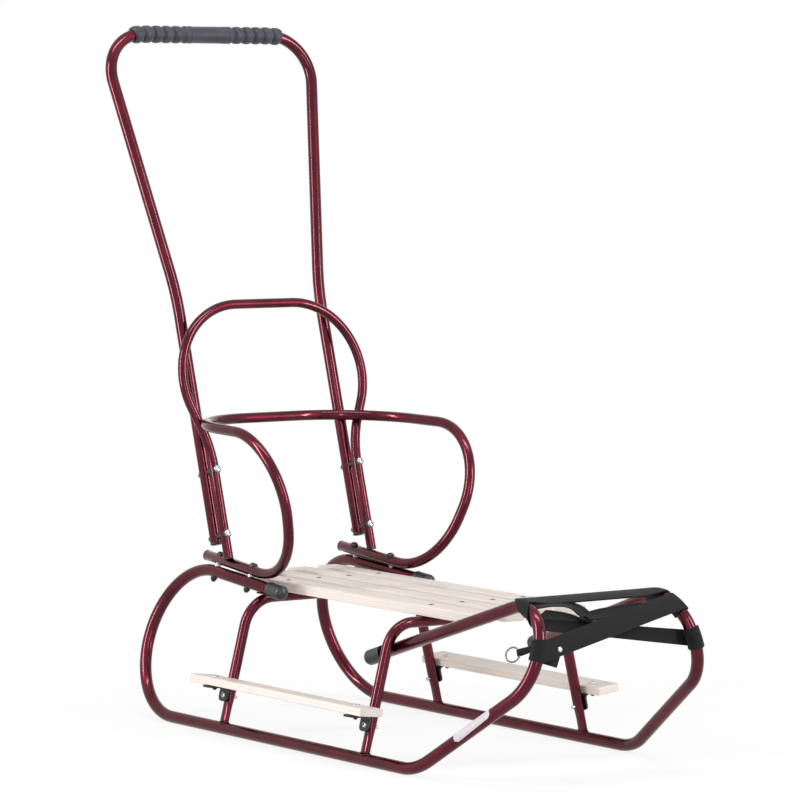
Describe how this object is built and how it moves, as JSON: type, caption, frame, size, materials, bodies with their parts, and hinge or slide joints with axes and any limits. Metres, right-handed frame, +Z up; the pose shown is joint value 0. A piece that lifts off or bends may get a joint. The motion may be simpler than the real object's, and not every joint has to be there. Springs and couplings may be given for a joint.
{
  "type": "push sled",
  "caption": "Child's push sled on bent tube runners, with a slatted seat, backrest loop, arm hoop, foot boards, crossed front webbing and a tall push handle.",
  "frame": {"origin": "on the floor, under the middle of the sled's length and width", "axes": "+X forward to the runners' noses, +Y the sled's left, +Z up"},
  "size_m": [0.9014, 0.4046, 0.9004],
  "materials": {
    "black_plastic": "satin moulded plastic and dark steel",
    "black_webbing": "woven nylon webbing",
    "burgundy_tube": "glossy candy burgundy lacquer",
    "grip_rubber": "matte dark grey rubber",
    "pale_wood": "planed, clear matte varnish",
    "zinc_steel": "bright zinc plate"
  },
  "bodies": {
    "root": {"arch_front": "burgundy_tube", "arch_rear": "burgundy_tube", "arm_bolt_front_left": "zinc_steel", "arm_bolt_front_right": "zinc_steel", "arm_bolt_rear_left": "zinc_steel", "arm_bolt_rear_right": "zinc_steel", "arm_hoop": "burgundy_tube", "backrest_loop": "burgundy_tube", "foot_board_left": "pale_wood", "foot_board_right": "pale_wood", "foot_bracket_front_left": "black_plastic", "foot_bracket_front_right": "black_plastic", "foot_bracket_rear_left": "black_plastic", "foot_bracket_rear_right": "black_plastic", "handle_bolt_lower_left": "zinc_steel", "handle_bolt_lower_right": "zinc_steel", "handle_bolt_upper_left": "zinc_steel", "handle_bolt_upper_right": "zinc_steel", "handle_grip": "grip_rubber", "handle_plug_left": "black_plastic", "handle_plug_right": "black_plastic", "push_handle": "burgundy_tube", "ring_tab_left": "black_webbing", "ring_tab_right": "black_webbing", "runner_cap_front_left": "black_plastic", "runner_cap_front_right": "black_plastic", "runner_cap_rear_left": "black_plastic", "runner_cap_rear_right": "black_plastic", "runner_left": "burgundy_tube", "runner_right": "burgundy_tube", "seat_board_1": "pale_wood", "seat_board_2": "pale_wood", "seat_board_3": "pale_wood", "seat_board_4": "pale_wood", "strap_front": "black_webbing", "strap_return": "black_webbing", "strap_rivet": "zinc_steel", "tow_ring_left": "zinc_steel", "tow_ring_right": "zinc_steel"}
  },
  "joints": []
}
